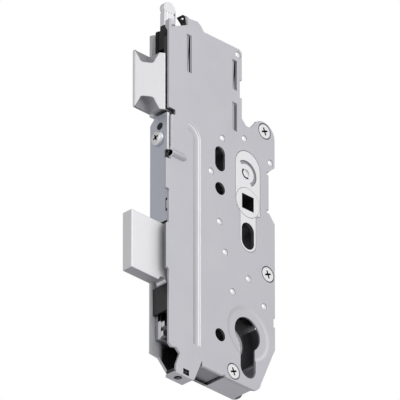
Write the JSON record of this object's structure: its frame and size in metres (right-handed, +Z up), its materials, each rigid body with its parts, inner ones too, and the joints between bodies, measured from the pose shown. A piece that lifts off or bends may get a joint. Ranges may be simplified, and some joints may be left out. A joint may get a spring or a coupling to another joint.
{
  "type": "multipoint door lock gearbox",
  "caption": "Gearbox of a multipoint door lock: pressed steel case with bevelled latch, thrown deadbolt, square follower, cylinder hole and drive slider.",
  "frame": {"origin": "on the axis of the handle spindle, at mid-thickness of the case", "axes": "+Z up along the door edge, +X from the front edge of the lock towards the hinges, +Y through the case from the cover to the rear plate"},
  "size_m": [0.0946, 0.0157, 0.2089],
  "materials": {
    "zinc_plate": "satin zinc plated pressed steel",
    "front_steel": "satin zinc plated pressed steel",
    "bright_nickel": "satin nickel plated zinc casting",
    "screw_steel": "bright zinc plated steel",
    "spring_steel": "oiled spring wire",
    "black_plastic": "moulded",
    "grey_plastic": "moulded",
    "sintered_steel": "sintered, lightly greased"
  },
  "bodies": {
    "case": {"rear_case": "zinc_plate", "cover_plate": "zinc_plate", "cover_screws": "screw_steel", "screw_posts": "screw_steel", "front_screw": "screw_steel", "latch_block": "black_plastic", "distance_pins": "screw_steel", "tail_guide_pin": "screw_steel", "slider_guide_pins": "screw_steel", "gear_axles": "screw_steel", "follower_insert": "bright_nickel", "insert_pin": "screw_steel", "screw_sleeves": "black_plastic", "slot_liners": "black_plastic", "cylinder_cup": "grey_plastic", "upper_guide": "black_plastic", "top_guide": "black_plastic", "bolt_guide": "black_plastic", "tab_nut": "front_steel", "spring_bracket": "zinc_plate", "latch_spring": "spring_steel", "follower_spring": "spring_steel"},
    "latch": {"latch_bolt": "bright_nickel", "latch_tail": "zinc_plate", "latch_rivets": "screw_steel", "spring_rod": "screw_steel"},
    "follower": {"follower": "bright_nickel"},
    "drive_gear": {"drive_gear": "sintered_steel"},
    "key_gear": {"key_gear": "sintered_steel"},
    "cam_lever": {"cam_lever": "sintered_steel"},
    "slider_gear": {"slider_gear": "sintered_steel"},
    "slider": {"drive_slider": "front_steel", "slider_rack": "sintered_steel", "rack_rivets": "screw_steel", "top_connector": "bright_nickel", "connector_rivets": "screw_steel", "bottom_connector": "bright_nickel"},
    "deadbolt": {"deadbolt": "bright_nickel", "deadbolt_pin": "screw_steel"}
  },
  "joints": [
    {"name": "handle_turn", "type": "hinge", "parent": "case", "child": "follower", "pos_m": [0, 0, 0], "axis": [0, 1, 0], "range_deg": [0, 45.1], "stiffness_Nm_per_rad": 0.4, "springref_deg": -5.73, "deforming": ["follower_spring"]},
    {"name": "latch_slide", "type": "slide", "parent": "case", "child": "latch", "axis": [1, 0, 0], "range_m": [0, 0.012], "stiffness_N_per_m": 300, "springref_m": -0.004, "deforming": ["latch_spring"]},
    {"name": "drive_gear_turn", "type": "hinge", "parent": "case", "child": "drive_gear", "pos_m": [0.0005, 0, -0.0423], "axis": [0, -1, 0], "range_deg": [0, 132.32]},
    {"name": "key_gear_turn", "type": "hinge", "parent": "case", "child": "key_gear", "pos_m": [-0.01035, 0, -0.05351], "axis": [0, 1, 0], "range_deg": [0, 132.32]},
    {"name": "slider_gear_turn", "type": "hinge", "parent": "case", "child": "slider_gear", "pos_m": [-0.01551, 0, -0.03364], "axis": [0, 1, 0], "range_deg": [0, 99.27]},
    {"name": "slider_lift", "type": "slide", "parent": "case", "child": "slider", "axis": [0, 0, 1], "range_m": [0, 0.018]},
    {"name": "deadbolt_slide", "type": "slide", "parent": "case", "child": "deadbolt", "axis": [1, 0, 0], "range_m": [0, 0.02001]},
    {"name": "cam_lever_lift", "type": "hinge", "parent": "case", "child": "cam_lever", "pos_m": [0.01135, 0, -0.05351], "axis": [0, 1, 0], "range_deg": [0, 9], "stiffness_Nm_per_rad": 0.05}
  ],
  "couplings": [
    {"joint": "handle_turn", "follows": "latch_slide", "rad_per_m": 65.45},
    {"joint": "drive_gear_turn", "follows": "slider_lift", "rad_per_m": 128.21},
    {"joint": "key_gear_turn", "follows": "slider_lift", "rad_per_m": 128.21},
    {"joint": "slider_gear_turn", "follows": "slider_lift", "rad_per_m": 96.154},
    {"joint": "deadbolt_slide", "follows": "slider_lift", "ratio": 1.1111}
  ]
}
